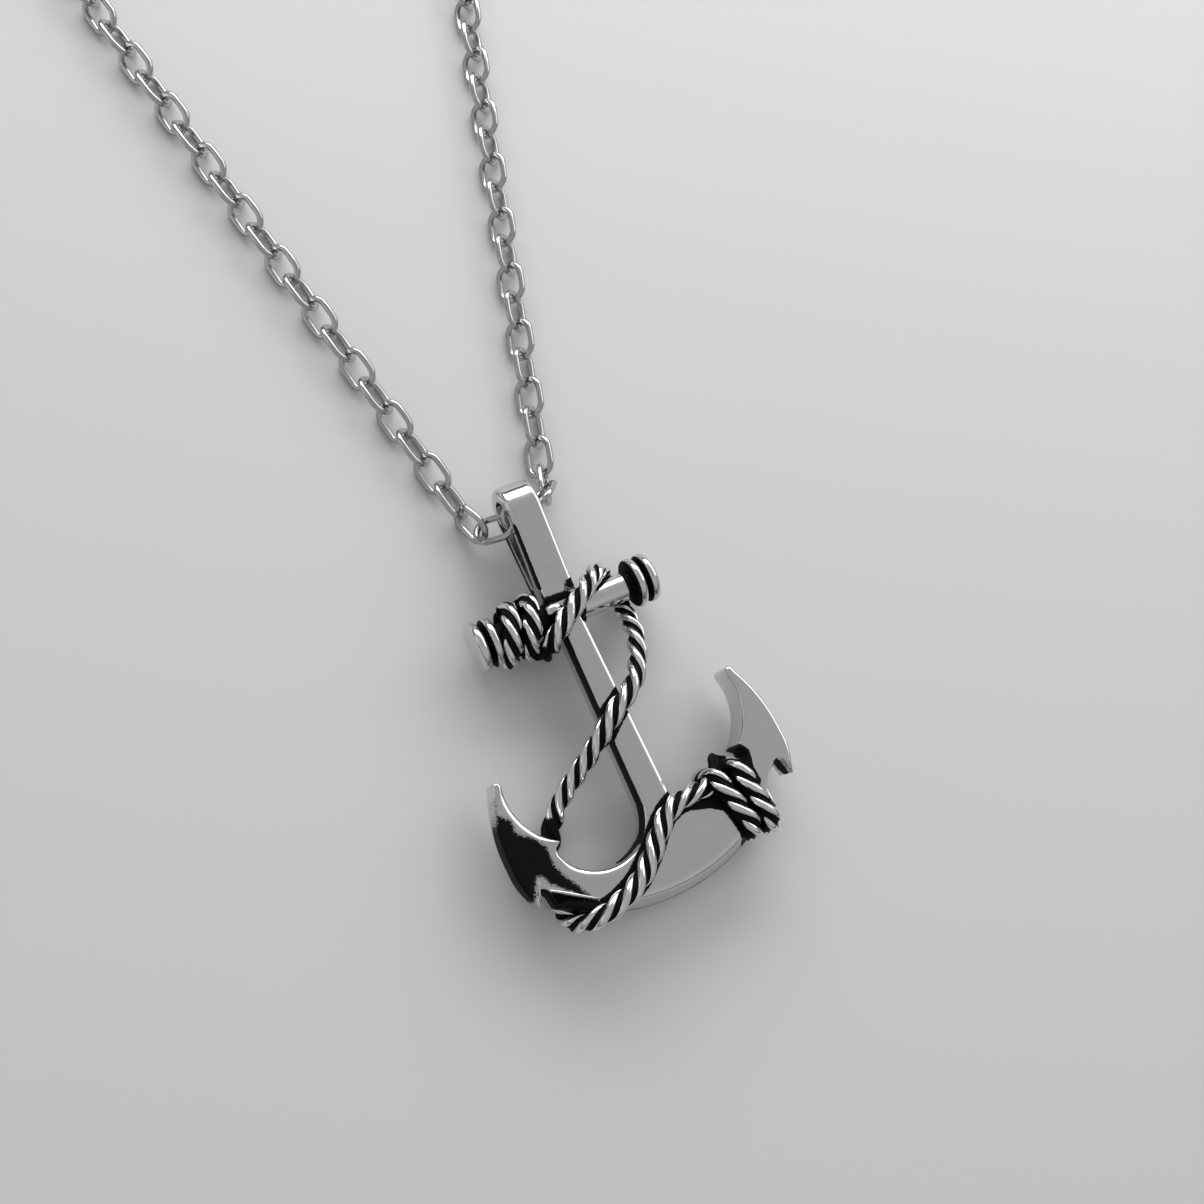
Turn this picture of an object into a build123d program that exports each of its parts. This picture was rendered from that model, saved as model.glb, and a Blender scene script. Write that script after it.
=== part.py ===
from build123d import *
import math
import os

# Anchor pendant on a cable chain, laid flat on a surface, in millimetres, +Z up.
# Everything is first built round the pendant's own datum: the point where the shank's axis meets the
# stock's axis, X along the stock, Y from the crown to the bail, and Z = 0 on the surface.
# The last step moves all pieces together, so that the origin is the bottom centre of the whole.

# Casting: thickness and heights over the surface
plate_thickness = 3.0
mid_height = 3.0

# Shank
shank_length = 24.7            # stock axis to the bottom of the crown
shank_top_width = 1.8
shank_foot_width = 2.5
shank_bevel = 0.2
head_width = 2.6               # block where the stock goes through
head_length = 3.4
head_rounding = 0.5

# Crown, arms and flukes
fluke_span = 25.3              # across both flukes
arm_height = 14.65             # bottom of the crown to the fluke tips
crown_radius = 16.8            # underside of the crown
arm_lean = 1.7                 # the crown sits a little turned on the shank, degrees
arm_shift = -0.3               # and a little to the left
neck_bite = 0.45               # how far the ends of the window's fillets reach into the shank
neck_height = 0.610            # where the shank's fillet ends, as a share of the arm's height
lean_height = 0.866            # what the crown leans about, as a share of the arm's height

# Stock: a round bar with two round-edged rims at each end
stock_radius = 1.23
stock_length = 16.5            # over the outer rims
stock_shift = 0.5              # the bar sits a little to the right in the shank
rim_radius = 2.15
rim_thickness = 0.9
rim_pitch = 1.15

# Bail: a flat strap folded at the top, with the chain's hole between its two halves
bail_width = 2.85
bail_reach = 11.5              # stock axis to the outer end of the fold
bail_fold_radius = 2.35
bail_fold_height = 3.7         # fold's centre over the surface
bail_hole_radius = 1.3
bail_hole_foot = 3.0           # stock axis to the narrow end of the hole
bail_hole_foot_height = 3.1
bail_hole_foot_radius = 0.25
bail_root = 0.9                # stock axis to the foot of the strap
bail_edge_radius = 0.35

# Rope, cast in relief
rope_radius = 0.82
rope_bedding = 0.28            # how deep the rope lies in what it passes over
wrap_rope_radius = 0.87        # the turns round the stock lie flatter and look thicker
wrap_pitch = 1.78
wrap_count = 2
wrap_start = -5.45             # first turn's place along the stock
wrap_tilt = 8.0                # lean of each turn, degrees
knot_turn_length = 4.6         # a turn's length across the arm, rope centre to rope centre
knot_corner = 1.15             # rounding of a turn at the arm's edges

# Chain
chain_length = 500.0           # whole loop, with the clasp and ring
link_length = 3.99
link_width = 2.85
link_wire = 0.56
link_bend_slack = 0.001        # keeps a short straight piece between the two bends at a link's end
link_clearance = 0.12          # gap between two links that pull on each other
link_roll = 45.0               # every link leans this far from flat, to alternate sides
chain_height = 1.09            # middle of a link over the surface
first_step = 2.69              # from the last link beside the bail to the first of a strand
leg_left = 11.4                # direction of the left strand from +Y, degrees
leg_right = 16.3               # direction of the right strand from +Y, degrees

# Clasp and end ring, at the far side of the loop
clasp_width = 5.2
clasp_wall = 0.95
clasp_thickness = 2.4          # at its belly
clasp_nose_thickness = 0.5
clasp_eye_thickness = 0.5
clasp_eye_radius = 1.25
clasp_eye_wall = 0.9
clasp_eye_to_nose = 7.9        # eye's centre to the inside of the nose
clasp_throat_radius = 0.7      # narrow end of the opening
ring_radius = 1.75             # to the middle of the wire
ring_wire = 0.6
ring_lean = 36.0               # the ring leans on the nose, degrees from flat
link_to_eye = 1.9
nose_to_ring = 0.6             # inside of the nose to the ring's centre
ring_to_link = 2.6

# Outline of an arm and its fluke, from the crown's underside round to the window beside the shank.
# Each row: place across as a share of half the span, height over the crown's bottom as a share of the
# arm's height, and whether the line has a corner there or an arc goes through it.
# The notch behind each barb was filed by hand and differs on the two sides.
NOTCH = {
    1: [
        (0.730, 0.276, "corner"),      # the crown's underside ends here
        (0.768, 0.345, "through"),
        (0.840, 0.388, "corner"),
        (0.880, 0.412, "through"),
        (0.912, 0.394, "corner"),
        (0.932, 0.303, "corner"),      # barb
    ],
    -1: [
        (0.862, 0.269, "corner"),
        (0.872, 0.358, "corner"),
        (0.895, 0.382, "through"),
        (0.918, 0.358, "corner"),
        (0.940, 0.308, "corner"),
    ],
}
FLUKE_OUTLINE = [
    (0.985, 0.409, "through"),
    (1.000, 0.548, "corner"),      # widest place
    (0.972, 0.784, "through"),
    (0.897, 0.964, "corner"),
    (0.856, 1.000, "through"),     # fluke tip
    (0.832, 0.964, "corner"),
    (0.842, 0.856, "through"),
    (0.812, 0.743, "corner"),      # hollow side of the fluke
    (0.750, 0.651, "through"),
    (0.655, 0.571, "corner"),      # small barb at the inner side
    (0.693, 0.544, "corner"),
    (0.698, 0.509, "corner"),
]
# The window beside the shank: the arc over the crown, and where it meets the shank's fillet.
WINDOW = {
    1: [(0.440, 0.395, "through"), (0.160, 0.455, "corner")],
    -1: [(0.466, 0.326, "through"), (0.160, 0.382, "corner")],
}

# Free and bedded stretches of the rope, by hand: X, Y and the height of the rope's centre.
ROPE_ROUTE = [
    (-3.6, -2.0, 3.2), (-2.7, -2.2, 4.6), (-1.4, -1.85, 5.2), (0.1, -0.75, 5.35), (1.8, 0.6, 5.2),
    (3.2, 1.6, 4.5), (4.2, 2.0, 3.3), (4.95, 1.6, 2.0), (5.3, 0.4, 1.1), (5.35, -1.0, 1.3),
    (5.15, -2.4, 2.3), (4.8, -3.9, 3.2), (4.15, -5.5, 3.9), (3.05, -6.95, 4.5), (1.5, -8.1, 4.95),
    (-0.2, -9.05, 5.05), (-1.8, -10.3, 4.7), (-3.3, -11.75, 3.8), (-4.95, -13.2, 2.7),
    (-6.6, -14.6, 1.7), (-8.0, -16.2, 1.0), (-9.0, -18.2, 0.82), (-9.75, -20.2, 0.9),
    (-10.05, -21.8, 1.4), (-9.95, -23.0, 2.6), (-9.2, -23.25, 4.0), (-7.8, -22.95, 4.85),
    (-5.9, -22.5, 5.05), (-4.1, -21.8, 5.0), (-2.5, -20.4, 5.0), (-1.1, -18.9, 5.05),
    (0.4, -17.7, 5.05), (2.2, -17.0, 4.95), (4.1, -16.75, 4.7), (5.8, -17.1, 4.5),
    (7.1, -18.0, 4.6),
]
# Turns of the knot round the right arm: the turn's middle in X and Y, and its lean from Y in degrees.
KNOT_TURNS = [
    (7.5, -20.1, 8.0),
    (5.85, -20.55, 10.0),
]

# Links beside the bail, by hand, from the left strand through the bail to the right strand:
# X, Y, Z, then heading, climb and roll in degrees.
BAIL_LINKS = [
    (-3.589, 10.06, 1.506, -72.4, 17.3, 66.4),
    (-2.281, 8.593, 3.086, -14.1, 34.9, 155.6),
    (0.237, 8.862, 3.665, 2.3, -3.3, 28.0),
    (2.616, 9.718, 3.387, 38.3, -42.4, 107.7),
    (3.786, 10.986, 1.484, 67.5, -17.7, 62.9),
]

half_span = fluke_span / 2
plate_back = mid_height - plate_thickness / 2
link_pitch = link_length - 2 * link_wire - link_clearance


def arm_point(across, up):
    return Vector(across * half_span, up * arm_height - shank_length)


def arm_edges(side):
    """Edges of one arm, from the crown's underside round to the shank (side is 1 or -1)."""
    outline = NOTCH[side] + FLUKE_OUTLINE + WINDOW[side]
    rows = [(side * across, up, kind) for across, up, kind in outline]
    last = arm_point(*rows[0][:2])
    centre_y = crown_radius - shank_length
    half_angle = 0.5 * math.asin(abs(last.X) / crown_radius)
    middle_x = side * crown_radius * math.sin(half_angle)
    middle = Vector(middle_x, centre_y - crown_radius * math.cos(half_angle))
    end = Vector(last.X, centre_y - math.sqrt(crown_radius**2 - last.X**2))
    edges = [ThreePointArc(Vector(0, -shank_length), middle, end), Line(end, last)]
    index = 1
    while index < len(rows):
        point = arm_point(*rows[index][:2])
        if rows[index][2] == "through":
            index += 1
            finish = arm_point(*rows[index][:2])
            edges.append(ThreePointArc(last, point, finish))
            point = finish
        else:
            edges.append(Line(last, point))
        last = point
        index += 1
    neck_end = Vector(side * (shank_foot_width / 2 - neck_bite), arm_point(0, neck_height).Y)
    edges.append(TangentArc(last, neck_end, tangent=edges[-1] % 1))
    return edges


def leaned(shape):
    """The crown and what is bound round its arms lean a little on the shank."""
    pivot_y = arm_point(0, lean_height).Y
    return Pos(arm_shift, pivot_y, 0) * Rot(0, 0, arm_lean) * Pos(0, -pivot_y, 0) * shape


def crescent():
    """Crown, arms and flukes: one plate."""
    right, left = arm_edges(1), arm_edges(-1)
    outline = make_face(right + left + [Line(right[-1] @ 1, left[-1] @ 1)])
    return leaned(extrude(Plane.XY.offset(plate_back) * outline, plate_thickness))


def shank():
    """Tapered bar with bevelled front edges, and the block that the stock goes through."""
    bottom_y = arm_point(0, neck_height / 2).Y
    top, foot = shank_top_width / 2, shank_foot_width / 2
    outline = Polyline((-top, 0), (top, 0), (foot, bottom_y), (-foot, bottom_y), close=True)
    bar = extrude(Plane.XY.offset(plate_back) * make_face(outline), plate_thickness)
    front = bar.faces().sort_by(Axis.Z)[-1]
    long_edges = front.edges().filter_by(lambda edge: edge.length > shank_foot_width + shank_top_width)
    bar = chamfer(long_edges, shank_bevel)
    block = Pos(0, 0, mid_height) * Box(head_width, head_length, plate_thickness)
    block = fillet(block.edges().filter_by(Axis.Z), head_rounding)
    return bar + block


def stock():
    """Round bar with two round-edged rims at each end."""
    bar = Cylinder(stock_radius, stock_length - rim_thickness)
    rim = Cylinder(rim_radius - rim_thickness / 2, rim_thickness)
    rim += Torus(rim_radius - rim_thickness / 2, rim_thickness / 2)
    end = (stock_length - rim_thickness) / 2
    for place in (end, end - rim_pitch, rim_pitch - end, -end):
        bar += Pos(0, 0, place) * rim
    return Pos(stock_shift, 0, mid_height) * Rot(0, 90, 0) * bar


def side_hull(fold_radius, foot):
    """Outline in the side view: the fold's circle drawn out to the foot's outline."""
    fold_y = bail_reach - bail_fold_radius
    return make_hull((Pos(fold_y, bail_fold_height) * Circle(fold_radius) + foot).edges())


def bail():
    """Flat strap, folded at the top, with a long hole for the chain between its two halves."""
    side_plane = Plane(origin=(-bail_width / 2, 0, 0), x_dir=(0, 1, 0), z_dir=(1, 0, 0))
    root = Pos(bail_root, mid_height) * Rectangle(head_rounding, plate_thickness)
    strap = extrude(side_plane * side_hull(bail_fold_radius, root), bail_width)
    near_side = bail_width / 2 - bail_edge_radius / 9
    at_side = strap.edges().filter_by(lambda edge: abs(edge.center().X) > near_side)
    past_root = at_side.filter_by(lambda edge: edge.center().Y > bail_root + head_rounding)
    strap = fillet(past_root, bail_edge_radius)
    narrow = Pos(bail_hole_foot, bail_hole_foot_height) * Circle(bail_hole_foot_radius)
    return strap - extrude(side_plane * side_hull(bail_hole_radius, narrow), bail_width)


def rope_along(points):
    """Rope along straight runs and tangent arcs, each arc as large as its two runs allow."""
    points = [Vector(*point) for point in points]
    radii = []
    for before, corner, after in zip(points, points[1:], points[2:]):
        first, second = corner - before, after - corner
        turn = math.radians(first.get_angle(second))
        radii.append(0.45 * min(first.length, second.length) / math.tan(turn / 2))
    path = FilletPolyline(*points, radius=radii)
    print("rope", round(path.length, 1), "mm, tightest arc", round(min(radii), 2), "mm")
    return sweep(Plane(origin=path @ 0, z_dir=path % 0) * Circle(rope_radius), path=path)


def wraps():
    """Turns of rope round the stock, at the left of the shank."""
    turn_radius = stock_radius + wrap_rope_radius - rope_bedding / 3
    ring = Rot(0, 90 + wrap_tilt, 0) * Torus(turn_radius, wrap_rope_radius)
    return [Pos(wrap_start + turn * wrap_pitch, 0, mid_height) * ring for turn in range(wrap_count)]


def knot():
    """Turns of rope round the right arm: long rounded loops across the plate."""
    height = plate_thickness + 2 * rope_radius - rope_bedding
    turns = []
    for x, y, lean in KNOT_TURNS:
        along = Vector(math.sin(math.radians(lean)), -math.cos(math.radians(lean)), 0)
        loop = Plane(origin=(x, y, mid_height), x_dir=along, z_dir=(-along.Y, along.X, 0))
        path = (loop * RectangleRounded(knot_turn_length, height, knot_corner)).wire()
        turns.append(sweep(Plane(origin=path @ 0, z_dir=path % 0) * Circle(rope_radius), path=path))
    return turns


def anchor():
    """The whole casting as one solid."""
    casting = crescent()
    for piece in [shank(), stock(), bail(), rope_along(ROPE_ROUTE)] + wraps() + knot():
        casting += piece
    return casting


def link():
    """One oval link of round wire, lying flat, its length along X."""
    length, width = link_length - link_wire, link_width - link_wire
    path = RectangleRounded(length, width, width / 2 - link_bend_slack).wire()
    return sweep(Plane(origin=path @ 0, z_dir=path % 0) * Circle(link_wire / 2), path=path)


def link_place(x, y, z, heading, climb, roll):
    """Where a link lies: it points along its heading, climbs, and rolls about its own length."""
    return Pos(x, y, z) * Rot(0, 0, heading) * Rot(0, -climb, 0) * Rot(roll, 0, 0)


def strand_way(direction):
    return Vector(-math.sin(math.radians(direction)), math.cos(math.radians(direction)))


def cross(first, second):
    return first.X * second.Y - first.Y * second.X


class Loop:
    """The chain's way over the surface, from the left strand's foot round to the right strand's foot.

    Two straight strands, and the one arc that touches both and makes the way as long as asked.
    """

    def __init__(self, length):
        self.length = length
        self.left = Vector(*BAIL_LINKS[0][:2])
        self.right = Vector(*BAIL_LINKS[-1][:2])
        self.left_way = strand_way(leg_left)
        self.right_way = strand_way(-leg_right)
        half = math.radians(leg_left + leg_right) / 2
        apart = self.right - self.left
        left_back = cross(apart, self.right_way) / cross(self.right_way, self.left_way)
        right_back = cross(apart, self.left_way) / cross(self.right_way, self.left_way)
        self.turn = math.pi + 2 * half
        self.radius = (length + left_back + right_back) / (2 / math.tan(half) + self.turn)
        self.straight = self.radius / math.tan(half) - left_back
        inward = Vector(self.left_way.Y, -self.left_way.X)
        self.centre = self.left + self.left_way * self.straight + inward * self.radius

    def place(self, distance):
        """Point and direction at a distance from the left strand's foot."""
        turned = (distance - self.straight) / self.radius
        if turned <= 0:
            return self.left + self.left_way * distance, self.left_way
        if turned >= self.turn:
            return self.right + self.right_way * (self.length - distance), self.right_way * -1
        way = self.left_way.rotate(Axis.Z, -math.degrees(turned))
        return self.centre + Vector(-way.Y, way.X) * self.radius, way


def heading_of(way):
    return math.degrees(math.atan2(way.Y, way.X))


def closing_span():
    """From the left strand's last link to the right strand's, over clasp and ring."""
    return link_to_eye + clasp_eye_to_nose + nose_to_ring + ring_to_link


def strand_links(loop, first, count, step, roll):
    """Links along the way; each leans to the other side than the one before."""
    for index in range(count):
        point, way = loop.place(first + index * step)
        yield link_place(point.X, point.Y, chain_height, heading_of(way), 0, roll)
        roll = -roll


def chains():
    """Both chains, and the places of clasp and ring between them."""
    around_bail = (len(BAIL_LINKS) - 1) * link_pitch
    count = round((chain_length - around_bail - closing_span() - 2 * first_step) / link_pitch) + 2
    left_count = count // 2
    right_count = count - left_count
    loop = Loop(2 * first_step + (count - 2) * link_pitch + closing_span())
    left_last = first_step + (left_count - 1) * link_pitch
    right_first = left_last + closing_span()
    middle = len(BAIL_LINKS) // 2 + 1
    left = [link_place(*row) for row in BAIL_LINKS[:middle]]
    left += list(strand_links(loop, first_step, left_count, link_pitch, link_roll))
    right = [link_place(*row) for row in BAIL_LINKS[middle:]]
    right_roll = link_roll * (-1) ** (right_count - 1)
    right += list(strand_links(loop, right_first, right_count, link_pitch, right_roll))
    eye, _ = loop.place(left_last + link_to_eye)
    ring_centre, _ = loop.place(right_first - ring_to_link)
    towards = ring_centre - eye
    clasp_place = Pos(eye.X, eye.Y, clasp_thickness / 2) * Rot(0, 0, heading_of(towards))
    ring_height = ring_radius * math.sin(math.radians(ring_lean)) + ring_wire / 2
    ring_place = link_place(ring_centre.X, ring_centre.Y, ring_height, heading_of(towards), 0, -ring_lean)
    print(len(left) + len(right), "links, arc radius", round(loop.radius, 1), "mm")
    print("way", round(loop.length + around_bail, 1), "mm")
    return left, right, clasp_place, ring_place


def clasp():
    """Closed hook with an eye, one plain piece, lying flat; its eye is at the origin."""
    belly = clasp_width / 2
    nose_end = clasp_eye_to_nose + clasp_wall
    belly_x = nose_end - belly
    eye_outer = clasp_eye_radius + clasp_eye_wall
    throat_x = clasp_eye_radius + clasp_wall + clasp_throat_radius
    outline = make_hull((Pos(belly_x, 0) * Circle(belly) + Circle(eye_outer)).edges())
    wide = Pos(belly_x, 0) * Circle(belly - clasp_wall)
    opening = make_hull((wide + Pos(throat_x, 0) * Circle(clasp_throat_radius)).edges())
    # Side view: flat at the eye and at the nose, thick in between.
    thick = Pos((belly_x + eye_outer) / 2, 0) * Circle(clasp_thickness / 2)
    thick += Pos(eye_outer, 0) * Rectangle(clasp_eye_wall, clasp_eye_thickness)
    thick += Pos(nose_end - 2 * clasp_wall, 0) * Rectangle(clasp_wall / 2, clasp_nose_thickness)
    profile = make_hull(thick.edges()) + Rectangle(2 * eye_outer, clasp_eye_thickness)
    profile += Pos(nose_end - clasp_wall, 0) * Rectangle(2 * clasp_wall, clasp_nose_thickness)
    body = extrude(outline, clasp_thickness, both=True)
    body &= extrude(Plane.XZ * profile, clasp_width, both=True)
    return body - extrude(opening + Circle(clasp_eye_radius), clasp_thickness, both=True)


def end_ring():
    return Torus(ring_radius, ring_wire / 2)


def build():
    """All pieces round the pendant's datum."""
    one_link = link()
    left, right, clasp_place, ring_place = chains()
    return {
        "anchor_pendant": anchor(),
        "chain_left": Compound(children=[place * one_link for place in left]),
        "chain_right": Compound(children=[place * one_link for place in right]),
        "clasp": clasp_place * clasp(),
        "end_ring": ring_place * end_ring(),
    }


def place_on_origin(pieces):
    """Move all pieces together: bottom centre of the whole to the origin."""
    boxes = [piece.bounding_box() for piece in pieces.values()]
    low = [min(getattr(box.min, axis) for box in boxes) for axis in "XYZ"]
    high = [max(getattr(box.max, axis) for box in boxes) for axis in "XYZ"]
    shift = Vector(-(low[0] + high[0]) / 2, -(low[1] + high[1]) / 2, -low[2])
    print("size", [round(top - bottom, 2) for top, bottom in zip(high, low)], "moved by", shift)
    return {name: Pos(*shift) * piece for name, piece in pieces.items()}


if __name__ == "__main__":
    os.makedirs("parts", exist_ok=True)
    for name, piece in place_on_origin(build()).items():
        export_step(piece, "parts/" + name + ".step")
        print(name, round(piece.volume, 2), "mm3", len(piece.solids()), "solids, valid", piece.is_valid)
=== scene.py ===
# %% [markdown]
# # An anchor pendant on its chain
#
# This lesson dresses the CAD model of a cast anchor pendant. The anchor is one polished casting with
# a rope bound round it, and a fine cable chain runs through its folded bail. We set the camera and
# make the finishes first, then model the rope, the anchor and the links, and light them last.

# %% Load the model
import math

import bpy
import numpy as np
from mathutils import Matrix, Vector
from mathutils.geometry import delaunay_2d_cdt


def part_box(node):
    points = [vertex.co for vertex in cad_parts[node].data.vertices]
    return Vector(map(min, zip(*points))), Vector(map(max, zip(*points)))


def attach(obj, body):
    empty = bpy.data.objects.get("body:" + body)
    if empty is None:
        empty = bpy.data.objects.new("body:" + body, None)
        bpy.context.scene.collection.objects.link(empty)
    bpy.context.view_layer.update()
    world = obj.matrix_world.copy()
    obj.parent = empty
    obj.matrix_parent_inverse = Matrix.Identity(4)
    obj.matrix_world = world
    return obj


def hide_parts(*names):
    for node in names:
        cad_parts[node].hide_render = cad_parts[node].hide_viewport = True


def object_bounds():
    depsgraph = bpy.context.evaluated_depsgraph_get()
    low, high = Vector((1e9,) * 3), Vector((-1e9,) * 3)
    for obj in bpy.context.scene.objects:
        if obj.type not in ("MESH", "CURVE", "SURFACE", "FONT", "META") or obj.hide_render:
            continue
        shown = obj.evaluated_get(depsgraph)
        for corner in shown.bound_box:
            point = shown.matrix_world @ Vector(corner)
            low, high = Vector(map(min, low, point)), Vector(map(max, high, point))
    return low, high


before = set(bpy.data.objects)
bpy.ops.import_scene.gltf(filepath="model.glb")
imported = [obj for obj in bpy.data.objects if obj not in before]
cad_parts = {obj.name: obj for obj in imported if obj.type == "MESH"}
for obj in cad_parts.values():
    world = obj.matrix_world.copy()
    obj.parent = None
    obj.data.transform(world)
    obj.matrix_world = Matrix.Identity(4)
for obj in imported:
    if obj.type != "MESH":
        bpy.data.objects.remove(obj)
cad_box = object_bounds()
print("CAD box", [[round(c, 4) for c in corner] for corner in cad_box])

# %% [markdown]
# ## The pendant's own datum
#
# A jeweller would measure the anchor from the point where its shank crosses its stock. We do the
# same, in millimetres: X along the stock, Y towards the bail and Z up from the table. One matrix,
# PLACE, carries each finished piece from there to its place in the model.

# %% Datum
FLUKE_REACH, BAIL_REACH = 0.012518, 0.0115   # from the datum to the casting's right edge and its top, in metres
low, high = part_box("anchor_pendant")
DATUM = Vector((high.x - FLUKE_REACH, high.y - BAIL_REACH, low.z))
PLACE = Matrix.Translation(DATUM) @ Matrix.Scale(0.001, 4)
print("datum", [round(c, 5) for c in DATUM])

# %% [markdown]
# ## The camera
#
# The pendant was seen from its left, rather high up. A Track To constraint would aim the camera, but
# keeps its sides level, and this one is turned about its line of sight. So it stands at that place
# with its three axes written down: its right, its up and its back.

# %% Camera
camera = bpy.data.objects.new("camera", bpy.data.cameras.new("camera"))
bpy.context.scene.collection.objects.link(camera)
camera.data.lens = 36.0
camera.data.sensor_width = 36.0
camera.data.clip_start = 0.005
CAMERA_PLACE = (-28.8, -12.08, 97.37)
CAMERA_AXES = Matrix(((0.8719, 0.3694, -0.3215), (-0.4233, 0.8986, -0.1155), (0.2462, 0.2368, 0.9398)))
camera.matrix_world = Matrix.Translation(PLACE @ Vector(CAMERA_PLACE)) @ CAMERA_AXES.to_4x4()
bpy.context.scene.camera = camera
print("camera at", [round(c, 4) for c in camera.location])

# %% [markdown]
# ## Helpers for modelling
#
# A bpy.ops operator acts on all that is selected, and loading the model has left it selected. So every
# step starts by leaving edit mode and deselecting everything.


# %% Start clean
def deselect_all():
    """Object mode, with nothing selected."""
    if bpy.context.object and bpy.context.object.mode != "OBJECT":
        bpy.ops.object.mode_set(mode="OBJECT")
    bpy.ops.object.select_all(action="DESELECT")


deselect_all()
print("selected", len(bpy.context.selected_objects))

# %% [markdown]
# Almost every piece here is a stack of rings: a flat face is added as a circle, its corners are moved
# to the outline, and it is extruded ring by ring. A lofted surface would do too, but rings that are
# extruded stay one closed skin. A coin, a bar and a whole crown can be made so.


# %% Stack rings
def stack_rings(name, rings):
    """One closed piece from rings of points that all have the same number of points."""
    deselect_all()
    count = len(rings[0])
    bpy.ops.mesh.primitive_circle_add(vertices=count, radius=1, fill_type="NGON")
    piece = bpy.context.object
    piece.name = piece.data.name = name
    for vertex, point in zip(piece.data.vertices, rings[0]):
        vertex.co = point
    for last, ring in zip(rings, rings[1:]):
        bpy.ops.object.mode_set(mode="EDIT")
        bpy.ops.mesh.extrude_region()
        bpy.ops.object.mode_set(mode="OBJECT")
        places = {tuple(round(c, 4) for c in Vector(point)): index for index, point in enumerate(last)}
        for vertex in piece.data.vertices:
            if vertex.select:
                vertex.co = ring[places[tuple(round(c, 4) for c in vertex.co)]]
    bpy.ops.object.mode_set(mode="EDIT")
    bpy.ops.mesh.select_all(action="SELECT")
    bpy.ops.mesh.normals_make_consistent(inside=False)
    bpy.ops.object.mode_set(mode="OBJECT")
    return piece


# %% [markdown]
# A flat face has no points inside, so nothing on it can vary. Slicing it with bisect planes, like a
# cake, gives it a grid of points that can later carry the black patina and painted shade of the recesses.


# %% Slice faces
def choose_faces(piece, is_wanted):
    """Enter edit mode with just the wanted faces selected."""
    bpy.context.tool_settings.mesh_select_mode = (False, False, True)
    bpy.ops.object.mode_set(mode="EDIT")
    bpy.ops.mesh.select_all(action="DESELECT")
    bpy.ops.object.mode_set(mode="OBJECT")
    for polygon in piece.data.polygons:
        polygon.select = is_wanted(polygon)
    bpy.ops.object.mode_set(mode="EDIT")


def slice_faces(piece, is_wanted, axis, places):
    """Bisect the wanted faces of a piece at several places along an axis."""
    normal = [0, 0, 0]
    normal[axis] = 1
    for place in places:
        point = [0, 0, 0]
        point[axis] = place
        choose_faces(piece, is_wanted)
        bpy.ops.mesh.bisect(plane_co=point, plane_no=normal)
        bpy.ops.object.mode_set(mode="OBJECT")


# %% [markdown]
# ## Patina and painted shade
#
# The casting is blackened and then polished, so black patina stays where the wheel couldn't reach.
# The same black is painted as shade beside the rope and in the notches, and as a dark reflection down
# the walls. We describe those places as capsules, each a line with a radius, and write the darkness of
# every point as an attribute. The attribute could also be painted by hand, but would have to be
# painted again after each change of a shape.


# %% Distances
def distance_to_run(points, start, end):
    """How far each point is from a straight line between two ends."""
    start, end = np.array(start, float), np.array(end, float)
    along = end - start
    share = np.clip((points - start) @ along / max(along @ along, 1e-9), 0, 1)
    return np.linalg.norm(points - start - share[:, None] * along, axis=1)


def inside_area(points, corners, soft):
    """1 inside a flat area seen from the front, 0 outside, with a soft edge as wide as soft."""
    corners = np.array(corners, float)
    px, py = points[:, 0], points[:, 1]
    inside = np.zeros(len(points), bool)
    nearest = np.full(len(points), 1e9)
    for (ax, ay), (bx, by) in zip(corners, np.roll(corners, -1, axis=0)):
        crosses = (ay > py) != (by > py)
        inside ^= crosses & (px < (bx - ax) * (py - ay) / (by - ay + 1e-12) + ax)
        nearest = np.minimum(nearest, distance_to_run(points[:, :2], (ax, ay), (bx, by)))
    return np.clip(0.5 + np.where(inside, nearest, -nearest) / soft, 0, 1)


# %% Write the patina and painted shade
def write_patina_and_painted_shade(piece, capsules, base=None, areas=()):
    """Attribute from 0, polished, to 1, black.

    A capsule is (start, end, radius, soft edge), an area is (corners, lowest height, soft edge), and
    base is a function of the points, for a darkness that neither of these describes.
    """
    points = np.array([vertex.co for vertex in piece.data.vertices])
    dark = np.zeros(len(points)) if base is None else base(points)
    for start, end, radius, soft in capsules:
        away = distance_to_run(points, start, end)
        dark = np.maximum(dark, np.clip((radius + soft - away) / soft, 0, 1))
    for corners, low_z, soft in areas:
        dark = np.maximum(dark, inside_area(points, corners, soft) * (points[:, 2] > low_z))
    # the darkness holds black patina, painted shade and painted dark reflections alike
    layer = piece.data.attributes.new("patina_and_painted_shade", "FLOAT", "POINT")
    layer.data.foreach_set("value", dark.astype(np.float32))
    return piece


# %% [markdown]
# ## The finishes
#
# A material is a tree of nodes. Each node is added, its constants are set on its sockets, and its
# outputs are linked on, so a small helper does the first two at once.


# %% Add a node
def add_node(material, kind, constants=None):
    """A new node with constants on its sockets, by the socket's name or number."""
    node = material.node_tree.nodes.new(kind)
    for socket, value in (constants or {}).items():
        node.inputs[socket].default_value = value
    return node


# %% [markdown]
# Polished steel is a mirror whose roughness wavers a little, with faint marks of the polishing wheel.
# One colour and one roughness would look like plastic chrome. So a slow noise varies both, and a
# finer noise, stretched along the wheel's run, gives a very low bump. Both read Object coordinates,
# so the grain has a real size and doesn't depend on how a piece was unwrapped.


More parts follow.
